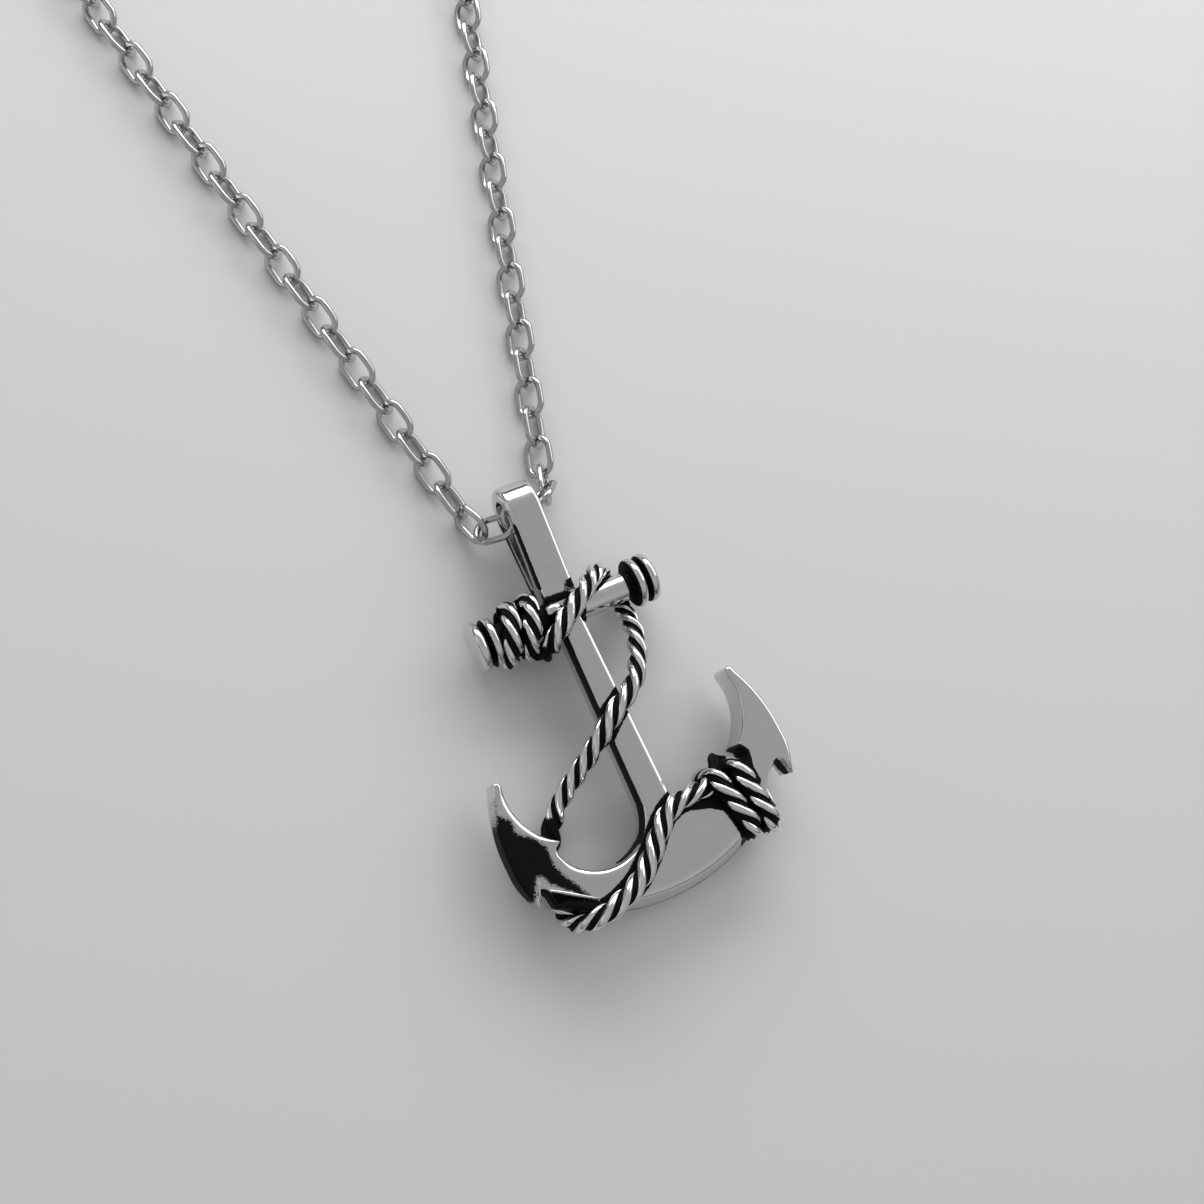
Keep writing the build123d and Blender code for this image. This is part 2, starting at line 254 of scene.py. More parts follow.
# %% Polished steel
def polish(material, colour, roughness, wheel_marks, grain):
    """Link wavering steel to the shader, and return the outputs for its colour and its roughness."""
    links = material.node_tree.links
    shader = material.node_tree.nodes["Principled BSDF"]
    shader.inputs["Metallic"].default_value = 1.0
    where = add_node(material, "ShaderNodeTexCoord").outputs["Object"]
    waver = add_node(material, "ShaderNodeTexNoise", {"Scale": 900, "Detail": 4})
    links.new(where, waver.inputs["Vector"])
    rough = add_node(material, "ShaderNodeMapRange", {"From Min": 0.3, "From Max": 0.7, "To Min": roughness * 0.7,
                                                      "To Max": roughness * 1.4})
    links.new(waver.outputs["Fac"], rough.inputs["Value"])
    links.new(rough.outputs["Result"], shader.inputs["Roughness"])
    tint = add_node(material, "ShaderNodeMixRGB", {"Color1": (*colour, 1), "Color2": (*[c * 0.86 for c in colour], 1)})
    links.new(waver.outputs["Fac"], tint.inputs["Fac"])
    links.new(tint.outputs["Color"], shader.inputs["Base Color"])
    stretch = add_node(material, "ShaderNodeMapping", {"Scale": grain})
    links.new(where, stretch.inputs["Vector"])
    marks = add_node(material, "ShaderNodeTexNoise", {"Scale": 2600, "Detail": 2})
    links.new(stretch.outputs["Vector"], marks.inputs["Vector"])
    bump = add_node(material, "ShaderNodeBump", {"Strength": wheel_marks, "Distance": 0.00002})
    links.new(marks.outputs["Fac"], bump.inputs["Height"])
    links.new(bump.outputs["Normal"], shader.inputs["Normal"])
    return tint.outputs["Color"], rough.outputs["Result"]


# %% [markdown]
# The attribute says where the black lies, patina and painted shade alike. A mask made of it alone
# would have a drawn edge, so a fine noise is added first and breaks it up. The black is a dull coat over
# the metal: where the mask is full, the metal goes, and nearly all of the shine with it, or it would gleam
# grey at a low angle.


# %% Black patina and painted shade
def blacken(material, steel_colour, steel_roughness):
    """Lay dull black, patina and painted shade, over the steel where the attribute and a ragged noise say so."""
    links = material.node_tree.links
    shader = material.node_tree.nodes["Principled BSDF"]
    shader.inputs["Specular IOR Level"].default_value = 0.04
    where = add_node(material, "ShaderNodeTexCoord").outputs["Object"]
    dark = add_node(material, "ShaderNodeAttribute")
    dark.attribute_name = "patina_and_painted_shade"
    ragged = add_node(material, "ShaderNodeTexNoise", {"Scale": 8500, "Detail": 4, "Roughness": 0.7})
    links.new(where, ragged.inputs["Vector"])
    broken = add_node(material, "ShaderNodeMath", {1: 0.9})
    broken.operation = "MULTIPLY_ADD"
    links.new(ragged.outputs["Fac"], broken.inputs[0])
    links.new(dark.outputs["Fac"], broken.inputs[2])
    mask = add_node(material, "ShaderNodeMapRange", {"From Min": 0.86, "From Max": 1.02})
    mask.interpolation_type = "SMOOTHSTEP"
    links.new(broken.outputs["Value"], mask.inputs["Value"])
    black = add_node(material, "ShaderNodeMixRGB", {"Color2": (0.006, 0.006, 0.006, 1)})
    links.new(mask.outputs["Result"], black.inputs["Fac"])
    links.new(steel_colour, black.inputs["Color1"])
    links.new(black.outputs["Color"], shader.inputs["Base Color"])
    metal = add_node(material, "ShaderNodeMath", {0: 1.0})
    metal.operation = "SUBTRACT"
    links.new(mask.outputs["Result"], metal.inputs[1])
    links.new(metal.outputs["Value"], shader.inputs["Metallic"])
    dull = add_node(material, "ShaderNodeMix", {3: 0.5})
    links.new(mask.outputs["Result"], dull.inputs[0])
    links.new(steel_roughness, dull.inputs[2])
    links.new(dull.outputs[0], shader.inputs["Roughness"])


# %% [markdown]
# Five finishes come of these two steps. The stock is brushed along its length, so its marks are
# stronger and stretched that way. The chain's wire reflects less than the casting, and neither
# it nor the clasp shows any black.


# %% The finishes
def make_steel(name, colour, roughness, has_patina_and_painted_shade, wheel_marks=0.1, grain=(1.0, 0.25, 1.0)):
    material = bpy.data.materials.new(name)
    material.use_nodes = True
    surface = polish(material, colour, roughness, wheel_marks, grain)
    if has_patina_and_painted_shade:
        blacken(material, *surface)
    return material


STEEL = (0.70, 0.70, 0.71)
casting_steel = make_steel("polished casting", STEEL, 0.13, True)
stock_steel = make_steel("brushed stock", STEEL, 0.15, True, 0.35, (0.08, 1.0, 1.0))
rope_steel = make_steel("polished rope relief", (0.78, 0.78, 0.78), 0.17, True)
chain_steel = make_steel("polished chain wire", (0.50, 0.50, 0.50), 0.16, False)
clasp_steel = make_steel("polished clasp", STEEL, 0.18, False)
print("finishes", [m.name for m in bpy.data.materials])

# %% [markdown]
# Every piece ends in the same way: smooth shading that keeps the sharp edges, the finish, and the move
# from the datum to its place. The move goes into the mesh, so that the object itself stays at the
# origin and the noise in its finish stays where it is.


# %% Finish a piece
def settle(piece, material, smooth_angle=35):
    """Smooth it, give it its finish, and carry it from the datum to its place."""
    deselect_all()
    piece.select_set(True)
    bpy.context.view_layer.objects.active = piece
    bpy.ops.object.shade_smooth_by_angle(angle=math.radians(smooth_angle))
    piece.data.transform(PLACE)
    piece.data.materials.clear()
    piece.data.materials.append(material)
    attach(piece, "root")
    print(piece.name, len(piece.data.polygons), "faces")
    return piece


# %% [markdown]
# ## The rope's way
#
# The rope is cast in relief: two turns round the stock, a stretch over the shank, a loop behind the
# stock and down to the left arm, round it, along the crown and into a knot on the right arm. Few
# control points of a NURBS curve hold each stretch, and Blender turns the curve into points. We space
# them evenly, because strands that wind by the length travelled need even steps.


# %% Smooth a route
WAY_STEP = 0.12


def smooth_way(points, step=WAY_STEP, closed=False):
    """Evenly spaced points along the smooth curve that a few control points hold."""
    data = bpy.data.curves.new("way", "CURVE")
    data.dimensions = "3D"
    data.resolution_u = 16
    spline = data.splines.new("NURBS")
    spline.points.add(len(points) - 1)
    for place, point in zip(spline.points, points):
        place.co = (*point, 1)
    spline.order_u = 3
    spline.use_endpoint_u = not closed
    spline.use_cyclic_u = closed
    helper = bpy.data.objects.new("way", data)
    line = bpy.data.meshes.new_from_object(helper)
    way = np.array([vertex.co for vertex in line.vertices])
    if closed:
        way = np.vstack([way, way[:1]])
    bpy.data.objects.remove(helper)
    bpy.data.meshes.remove(line)
    lengths = np.concatenate([[0], np.cumsum(np.linalg.norm(np.diff(way, axis=0), axis=1))])
    stops = np.linspace(0, lengths[-1], max(2, round(lengths[-1] / step)) + 1)
    return np.stack([np.interp(stops, lengths, way[:, axis]) for axis in range(3)], axis=1)


# %% [markdown]
# The long stretch starts on the stock's left, climbs over the shank and turns down behind the stock
# near its right end. It crosses the shank again, dips behind the left arm and comes back over the crown.

# %% Points of the rope
ROPE_ROUTE = [
    (-2.85, -2.41, 2.2), (-2.72, -2.54, 3.6), (-2.31, -2.08, 4.75), (-1.37, -1.3, 5.25),
    (0.09, -0.37, 5.4), (1.77, 0.69, 5.2), (3.16, 1.67, 4.5), (4.16, 2.07, 3.3), (4.93, 1.63, 2),
    (5.3, 0.41, 1.1), (5.38, -1, 1.3), (5.22, -2.42, 2.3), (4.93, -3.94, 3.2), (4.16, -5.53, 3.9),
    (3.13, -7.1, 4.5), (1.66, -8.3, 4.95), (-0.1, -9.16, 5.05), (-1.72, -10.39, 4.7),
    (-3.37, -11.63, 3.8), (-5.21, -12.83, 2.7), (-6.97, -14.11, 1.7), (-8.23, -15.88, 1),
    (-9.13, -17.99, 0.9), (-9.81, -20.05, 0.95), (-10.06, -21.68, 1.4), (-9.91, -22.87, 2.6),
    (-9.11, -23.13, 4), (-7.69, -23.11, 4.85), (-5.8, -22.68, 5.05), (-4, -21.96, 5), (-2.34, -20.62, 5),
    (-0.91, -19.17, 5.05), (0.59, -17.98, 5.05), (2.2, -17.75, 4.75), (3.2, -17.75, 4.5),
    (4.3, -17.9, 4.3), (5.2, -17.5, 4.2), (5.7, -16.8, 4.0), (6.6, -16.3, 3.6),
]
rope_way = smooth_way(ROPE_ROUTE)
print("rope", round(WAY_STEP * len(rope_way), 1), "mm")


# %% Black beside the rope
def beside_way(way, radius, soft, stride=8):
    """Capsules along a way, for the black patina and painted shade beside the rope."""
    return [(tuple(a), tuple(b), radius, soft) for a, b in zip(way[::stride], way[stride::stride])]


rope_capsules = beside_way(rope_way, 1.0, 0.35)
print("capsules beside the rope", len(rope_capsules))

# %% [markdown]
# ## Twisting strands
#
# Three strands wind round the rope's line. We carry a frame along the line without twisting it, turn
# the strands' places by the lay, and put a small circle at each place. A Screw modifier winds a strand
# too, but round a straight axis, and this rope bends nearly all the way.


# %% Frames along a way
def carry_frames(way):
    """Two directions across the way at each point, carried along without twist."""
    ahead = np.gradient(way, axis=0)
    ahead /= np.linalg.norm(ahead, axis=1)[:, None]
    side = np.cross(ahead[0], (0.13, 0.21, 0.97))
    side /= np.linalg.norm(side)
    sides = []
    for direction in ahead:
        side = side - direction * (side @ direction)
        side /= np.linalg.norm(side)
        sides.append(side)
    sides = np.array(sides)
    return ahead, sides, np.cross(ahead, sides)


# %% Tubes
def add_tubes(name, tubes):
    """One piece from several tubes. A tube is an array of rings, each of the same number of points."""
    corners, faces = [], []
    for rings in tubes:
        start, (ring_count, around, _) = len(corners), rings.shape
        corners.extend(rings.reshape(-1, 3).tolist())
        for ring in range(ring_count - 1):
            for k in range(around):
                a = start + ring * around + k
                b = start + ring * around + (k + 1) % around
                faces.append((a, b, b + around, a + around))
        faces.append(tuple(start + k for k in reversed(range(around))))
        faces.append(tuple(start + (ring_count - 1) * around + k for k in range(around)))
    mesh = bpy.data.meshes.new(name)
    mesh.from_pydata(corners, [], faces)
    piece = bpy.data.objects.new(name, mesh)
    bpy.context.scene.collection.objects.link(piece)
    deselect_all()
    piece.select_set(True)
    bpy.context.view_layer.objects.active = piece
    return piece


# %% One strand
def strand_rings(way, lay_radius, strand_radius, lead, phase, around=12):
    """Rings of one strand that winds round the way, one turn in each lead."""
    ahead, side, up = carry_frames(way)
    travelled = np.concatenate([[0], np.cumsum(np.linalg.norm(np.diff(way, axis=0), axis=1))])
    turn = phase - 2 * math.pi * travelled / lead
    out = np.cos(turn)[:, None] * side + np.sin(turn)[:, None] * up
    middle = way + lay_radius * out
    along = np.gradient(middle, axis=0)
    along /= np.linalg.norm(along, axis=1)[:, None]
    across = np.cross(along, out)
    across /= np.linalg.norm(across, axis=1)[:, None]
    outward = np.cross(across, along)
    angles = np.linspace(0, 2 * math.pi, around, endpoint=False)
    return np.stack(
        [middle + strand_radius * (math.cos(a) * outward + math.sin(a) * across) for a in angles], axis=1
    )


# %% [markdown]
# The grooves between strands are painted black, as shade over the patina, and the side of a turn that
# faces its middle is dark as well. So the darkness follows from where a point lies round the rope, and how
# far it is from the rope's middle. Nothing is painted by hand.


# %% Dark grooves and inner sides
def dark_inner_side(way, rings, centre, limit):
    """Dark except on the side that faces away from the middle of a turn."""
    ahead = carry_frames(way)[0]
    outward = way - np.array(centre)
    outward -= ahead * (outward * ahead).sum(axis=1)[:, None]
    outward /= np.linalg.norm(outward, axis=1)[:, None]
    offset = rings - way[:, None, :]
    cosine = (offset * outward[:, None, :]).sum(axis=2) / np.linalg.norm(offset, axis=2)
    return np.clip((limit + 0.1 - cosine) / 0.2, 0, 1)


# %% Twist a rope
LOWEST, HIGHEST = 0.01, 6.13   # just inside the CAD box, from the table up
CORE_OFFSET = 0.001            # a core in the exact middle would have no outward direction


def strand_black(way, rings, travelled, groove, centre, limit, black_spans):
    """Darkness of a strand's points: painted shade in the grooves, on the side that faces the turn's middle, and along
    whole spans.
    """
    away = np.linalg.norm(rings - way[:, None, :], axis=2)
    black = np.clip((groove[1] - away) / (groove[1] - groove[0]), 0, 1)
    if centre:
        black = np.maximum(black, dark_inner_side(way, rings, centre, limit))
    for start, end in black_spans:
        span = np.clip(np.minimum(travelled - start, end - travelled) / 0.7, 0, 1)
        black = np.maximum(black, span[:, None])
    return black.ravel()


def twist_rope(name, ways, phases, lead=5.55, uneven=((0, 0), (1, 0)), lay_radius=0.53, strand_radius=0.33,
               groove=(0.62, 0.72), centres=None, limit=0.5, black_spans=()):
    """A three-strand rope along one or more ways, round a black core that shows in the grooves as painted shade."""
    tubes, dark = [], []
    for index, way in enumerate(ways):
        travelled = np.arange(len(way)) * np.linalg.norm(way[1] - way[0])
        extra = np.interp(travelled, [row[0] for row in uneven], [row[1] for row in uneven])
        core = strand_rings(way, CORE_OFFSET, lay_radius, lead, 0.0)
        tubes.append(core)
        dark.append(np.ones(core.shape[0] * core.shape[1]))
        for strand in range(3):
            turn = phases[index] + strand * 2 * math.pi / 3 + extra
            rings = strand_rings(way, lay_radius, strand_radius, lead, turn)
            tubes.append(rings)
            centre = centres[index] if centres else None
            dark.append(strand_black(way, rings, travelled, groove, centre, limit, black_spans))
    for rings in tubes:
        rings[..., 2] = np.clip(rings[..., 2], LOWEST, HIGHEST)
    piece = add_tubes(name, tubes)
    # painted shade in the grooves, on the core and along the black spans, over patina
    layer = piece.data.attributes.new("patina_and_painted_shade", "FLOAT", "POINT")
    layer.data.foreach_set("value", np.concatenate(dark).astype(np.float32))
    return piece


# %% [markdown]
# The long stretch of rope is one piece, with a left-hand lay as on the real casting, where it
# isn't quite even. So ROPE_LAY adds a little turn, in radians, at lengths along the way.
# Three spans lie deep beside other forms, in shade, and are painted black all round.

# %% Long stretch of rope
ROPE_LAY = [(0, 0.3), (8, 0.55), (13, 0), (19, -0.65), (23, -0.5), (30, 0.05), (66, 0.05)]
ROPE_BLACK = [(-1, 2.6), (36.4, 39.4), (62.5, 90)]
ROPE_SMOOTH = 60
rope = twist_rope("rope_long_stretch", [rope_way], [0.09], uneven=ROPE_LAY, black_spans=ROPE_BLACK)
settle(rope, rope_steel, ROPE_SMOOTH)

# %% [markdown]
# The two turns round the stock and the turns of the knot are ropes of their own. On the casting none
# of them has an end that shows, so each is a closed ring. It leans as a coil's turn does, without the
# hidden step across to the next turn.


# %% Turns round the stock
MIDDLE_Z = 3.0   # half way through the casting, where the stock's middle lies


def ring_way(x, tilt, radius, count=24):
    """A leaning ring round the stock."""
    angles = np.linspace(-math.pi / 2, 1.5 * math.pi, count, endpoint=False)
    lean = math.radians(tilt)
    return [(x + radius * math.sin(lean) * math.cos(a), radius * math.cos(a) * math.cos(lean),
             MIDDLE_Z + radius * math.sin(a)) for a in angles]


TURN_PLACES = (-5.05, -3.3)
stock_turns = [smooth_way(ring_way(x, 19.0, 2.12), closed=True) for x in TURN_PLACES]
wraps = twist_rope("rope_round_stock", stock_turns, [0.62, 1.8], lead=5.6, strand_radius=0.31, limit=0.3,
                   centres=[(x, 0, MIDDLE_Z) for x in TURN_PLACES])
settle(wraps, rope_steel, ROPE_SMOOTH)

# %% [markdown]
# A turn of the knot isn't round: it lies flat on the plate's front and back, and bends at its edges.
# So its route is a long loop with cut corners, which the curve rounds.


# %% Turns of the knot
def knot_way(x, y, lean, length=5.7, height=4.36, corner=1.15):
    """A long loop round the arm, rounded at the plate's edges."""
    a, b = length / 2, height / 2
    near, far = corner, corner * 0.25
    loop = [(0, -b), (-a + near, -b), (-a + far, -b + far), (-a, -b + near), (-a, b - near), (-a + far, b - far),
            (-a + near, b), (0, b), (a - near, b), (a - far, b - far), (a, b - near), (a, -b + near),
            (a - far, -b + far), (a - near, -b)]
    s, c = math.sin(math.radians(lean)), math.cos(math.radians(lean))
    return [(x + s * u, y - c * u, MIDDLE_Z + v) for u, v in loop]


KNOT_PLACES = ((7.65, -20.05, 9.4), (5.8, -19.95, 14))   # x, y and the lean in degrees
knot_turns = [smooth_way(knot_way(*knot_place), closed=True) for knot_place in KNOT_PLACES]
knot = twist_rope("rope_knot", knot_turns, [1.304, 0.816], lead=5.7, limit=0.45,
                  centres=[(x, y, MIDDLE_Z) for x, y, _ in KNOT_PLACES])
settle(knot, rope_steel, ROPE_SMOOTH)
for way in knot_turns:
    rope_capsules += beside_way(way, 1.05, 0.4)

# %% [markdown]
# ## Crown, arms and flukes
#
# The lower part of the anchor is one plate: the crown, two arms and a fluke with a barb on each. Its
# outline is written down as points: "c" is a corner and "t" is a point that an arc goes through. Walls,
# bevels and front follow by moving that outline inwards. A Bevel modifier gives one width all round
# unless each edge has a weight of its own, and this plate is bevelled widely below, narrowly elsewhere.

# %% Outline of the plate
RIGHT_ARM = [
    (0.08, -24.69, "c"), (4.87, -23.85, "t"), (9.22, -21.66, "c"), (9.19, -20.38, "c"), (9.63, -19.36, "t"),
    (10.53, -18.70, "c"), (10.94, -18.33, "t"), (11.44, -18.58, "c"), (11.73, -19.91, "c"), (12.39, -18.16, "t"),
    (12.48, -16.29, "c"), (12.11, -13.18, "t"), (11.00, -10.24, "c"), (10.57, -9.71, "t"), (10.18, -10.27, "c"),
    (10.35, -11.90, "t"), (10.02, -13.51, "c"), (9.24, -14.93, "t"), (8.11, -16.09, "c"), (8.60, -16.47, "c"),
    (8.68, -16.98, "c"), (5.48, -18.74, "t"), (1.95, -17.97, "c"), (1.38, -17.15, "t"), (1.17, -15.79, "c"),
]
LEFT_ARM = [
    (0.08, -24.69, "c"), (-5.76, -23.83, "t"), (-10.94, -21.04, "c"), (-11.11, -19.78, "c"), (-11.41, -19.44, "t"),
    (-11.69, -19.80, "c"), (-11.94, -20.54, "c"), (-12.62, -18.85, "t"), (-12.81, -17.05, "c"), (-12.62, -13.91, "t"),
    (-11.68, -10.91, "c"), (-11.29, -10.36, "t"), (-10.86, -10.89, "c"), (-10.94, -12.53, "t"),
    (-10.51, -14.12, "c"), (-9.65, -15.49, "t"), (-8.45, -16.58, "c"), (-8.92, -16.99, "c"), (-8.97, -17.50, "c"),
    (-5.97, -20.09, "t"), (-2.30, -19.20, "c"), (-1.42, -17.65, "t"), (-1.17, -15.79, "c"),
]


def arc_through(a, b, c, spacing):
    """Points from a to c, without a, on the circle through a, b and c."""
    (ax, ay), (bx, by), (cx, cy) = a, b, c
    d = 2 * (ax * (by - cy) + bx * (cy - ay) + cx * (ay - by))
    ux = ((ax**2 + ay**2) * (by - cy) + (bx**2 + by**2) * (cy - ay) + (cx**2 + cy**2) * (ay - by)) / d
    uy = ((ax**2 + ay**2) * (cx - bx) + (bx**2 + by**2) * (ax - cx) + (cx**2 + cy**2) * (bx - ax)) / d
    radius = math.hypot(ax - ux, ay - uy)
    start, middle, end = (math.atan2(y - uy, x - ux) for x, y in (a, b, c))
    full = 2 * math.pi
    sweep = (end - start) % full
    if (middle - start) % full > sweep:
        sweep -= full
    count = max(2, math.ceil(abs(sweep) * radius / spacing))
    return [(ux + radius * math.cos(start + sweep * k / count), uy + radius * math.sin(start + sweep * k / count))
            for k in range(1, count + 1)]


def run_points(rows, spacing=0.3):
    """Points along a row of corners and arcs."""
    points = [rows[0][:2]]
    index = 1
    while index < len(rows):
        if rows[index][2] == "t":
            points += arc_through(points[-1], rows[index][:2], rows[index + 1][:2], spacing)
            index += 2
        else:
            a, b = Vector(points[-1]), Vector(rows[index][:2])
            count = max(1, math.ceil((b - a).length / spacing))
            points += [tuple(a.lerp(b, k / count)) for k in range(1, count + 1)]
            index += 1
    return points


right_points = run_points(RIGHT_ARM)
left_points = run_points(LEFT_ARM)
outline = np.array(right_points + left_points[:0:-1])
print("outline", len(outline), "points")

# %% [markdown]
# To move the outline inwards we need its inward direction at every point. At a corner the step is
# longer, as a mitre is, so that the edges on both sides stay parallel.


# %% Move an outline inwards
def inward(points):
    """Unit vectors into a counter-clockwise outline, longer at corners so that edges stay parallel."""
    ahead = np.roll(points, -1, axis=0) - points
    ahead /= np.linalg.norm(ahead, axis=1)[:, None]
    behind = np.roll(ahead, 1, axis=0)
    first = np.stack([-behind[:, 1], behind[:, 0]], axis=1)
    second = np.stack([-ahead[:, 1], ahead[:, 0]], axis=1)
    middle = first + second
    middle /= np.linalg.norm(middle, axis=1)[:, None]
    return middle / np.maximum((middle * first).sum(axis=1), 0.5)[:, None]


def blend_at(values, starts, ends):
    """0 before starts, 1 after ends, smooth between."""
    share = np.clip((values - starts) / (ends - starts), 0, 1)
    return share * share * (3 - 2 * share)


steps = inward(outline)
print("longest step", round(float(np.linalg.norm(steps, axis=1).max()), 2))

# %% [markdown]
# Then we need a width that changes along the outline. The bevel is wide at the crown's underside,
# middling on the left arm's inner side and narrow everywhere else. At the arms' points, where the
# outline turns sharply, it slims down, or the moved lines would cross.

# %% Widths along the outline
x, y = outline[:, 0], outline[:, 1]
under = y < -20.5
under_right = np.where(under & (x > -8) & (x < 9.3), blend_at(x, -7.5, -4.5) * (1 - blend_at(x, 8.4, 9.2)), 0)
under_left = np.where(under & (x < -4) & (x > -10.95), (1 - blend_at(x, -7.5, -4.5)) * blend_at(x, -10.9, -10.2), 0)
width_wall = 0.03 + 0.72 * under_right + 0.25 * under_left
width_edge = 0.25 + 1.12 * under_right + 0.45 * under_left
order = np.arange(len(outline))
neck = len(right_points)                          # where the outline passes to the left of the shank
tip = int(np.argmax(np.where(x < -5, y, -99)))    # the left fluke's tip
inner_left = blend_at(order, neck + 12, neck + 24) * (1 - blend_at(order, tip - 8, tip - 2))
inner_left *= blend_at(np.hypot(x + 8.7, y + 17.0), 0.7, 1.8)   # not at the step where the rope goes round
width_edge = width_edge + 0.34 * inner_left
before, after = outline - np.roll(outline, 1, axis=0), np.roll(outline, -1, axis=0) - outline
turning = np.arctan2(before[:, 0] * after[:, 1] - before[:, 1] * after[:, 0], (before * after).sum(axis=1))
points_of_arms = outline[turning > math.radians(50)]
slim = np.clip(np.linalg.norm(outline[:, None] - points_of_arms[None], axis=2).min(axis=1) / 0.8, 0.12, 1)
width_edge, width_wall = width_edge * slim, width_wall * slim
print("points of the arms", points_of_arms.round(2).tolist())

# %% [markdown]
# Ten rings make the plate: a small bevel at the back, the wall, a quarter round, and a last ring on the
# front. The quarter round has five rings of its own, because a polished edge shows one thin bright
# line only if it is round.

# %% Sides of the plate
BACK, FRONT = 1.5, 4.5
BACK_BEVEL = 0.14 * slim
BORDER = width_edge + 0.07 * slim


def plate_ring(width, height):
    """The outline, moved inwards by a width, at a height."""
    heights = np.broadcast_to(height, len(outline))
    moved = outline + steps * np.asarray(width).reshape(-1, 1) if np.ndim(width) else outline + steps * width
    return [tuple(float(c) for c in (*point, z)) for point, z in zip(moved, heights)]


def round_edge(share):
    """A ring on the quarter round between the wall and the front."""
    angle = share * math.pi / 2
    width = width_wall + (width_edge - width_wall) * (1 - math.cos(angle))
    drop = 0.22 + 0.25 * under_right + 0.12 * inner_left
    return plate_ring(width, FRONT - drop * (1 - math.sin(angle)))


crown = stack_rings("anchor_crown", [
    plate_ring(BACK_BEVEL, BACK), plate_ring(0.02 * slim, BACK + 0.14), plate_ring(0.0, 2.3),
    plate_ring(width_wall * 0.5, 3.1), *[round_edge(share) for share in (0, 0.25, 0.5, 0.75, 1)],
    plate_ring(BORDER, FRONT),
])
print("crown's sides", len(crown.data.vertices), "points")

# %% [markdown]
# The front needs points inside, for its relief and its patina and painted shade. Slices would give them
# too, with many slivers along so curved an outline. So we take that one face away and fill its outline
# with a net of small triangles. It comes from a Delaunay triangulation, which Blender offers to scripts,
# and is joined to the sides by merging the common points.


# %% A net inside a border
def net_inside(border, height, spacing, raise_by):
    """Small triangles that fill a border, lying at a height, raised or sunk by a function of x and y."""
    low_x, low_y = border.min(axis=0)
    high_x, high_y = border.max(axis=0)
    rows = np.arange(low_y, high_y, spacing * 0.87)   # 0.87 is the height of an even triangle
    grid = np.array([(gx + spacing / 2 * (row % 2), gy) for row, gy in enumerate(rows)
                     for gx in np.arange(low_x, high_x, spacing)])
    grid = grid[inside_area(grid, border, 0.3) >= 0.9]
    flat = [Vector(point) for point in np.vstack([border, grid])]
    points, _, triangles, origins, _, _ = delaunay_2d_cdt(flat, [], [list(range(len(border)))], 1, 1e-5)
    places = np.array([tuple(point) for point in points])
    is_border = np.array([any(index < len(border) for index in origin) for origin in origins])
    heights = height + np.where(is_border, 0.0, raise_by(places))
    mesh = bpy.data.meshes.new("front")
    mesh.from_pydata(np.column_stack([places, heights]).tolist(), [], triangles)
    sheet = bpy.data.objects.new("front", mesh)
    bpy.context.scene.collection.objects.link(sheet)
    return sheet


# %% Front and back of the plate
def count_open_edges(piece):
    """Edges that don't join just two faces: a closed piece has none."""
    counts = {}
    for polygon in piece.data.polygons:
        for key in polygon.edge_keys:
            counts[key] = counts.get(key, 0) + 1
    return sum(n != 2 for n in counts.values())


def close_flat(piece, border, height, raise_by, spacing=0.22):
    """Put the net in the place of the piece's one flat face at that height."""
    choose_faces(piece, lambda polygon: abs(polygon.center.z - height) < 0.001 and len(polygon.vertices) > 8)
    bpy.ops.mesh.delete(type="ONLY_FACE")
    bpy.ops.object.mode_set(mode="OBJECT")
    sheet = net_inside(border, height, spacing, raise_by)
    sheet.select_set(True)
    bpy.ops.object.join()
    bpy.ops.object.mode_set(mode="EDIT")
    bpy.ops.mesh.select_all(action="SELECT")
    bpy.ops.mesh.remove_doubles(threshold=0.0005)
    bpy.ops.mesh.fill_holes(sides=0)
    bpy.ops.mesh.normals_make_consistent(inside=False)
    bpy.ops.object.mode_set(mode="OBJECT")
    print(piece.name, len(piece.data.polygons), "faces,", count_open_edges(piece), "open edges")


# the hollow below the left arm's ridge
POCKET = [(-11.2, -19.35), (-9.94, -20.35), (-7.69, -21.95), (-6.6, -23.4), (-9.0, -24.0), (-11.4, -22.0)]


def crown_relief(places):
    return -0.55 * inside_area(places, POCKET, 0.5)


def no_relief(places):
    return np.zeros(len(places))


close_flat(crown, outline + steps * BORDER[:, None], FRONT, crown_relief)
close_flat(crown, outline + steps * BACK_BEVEL[:, None], BACK, no_relief, 0.8)
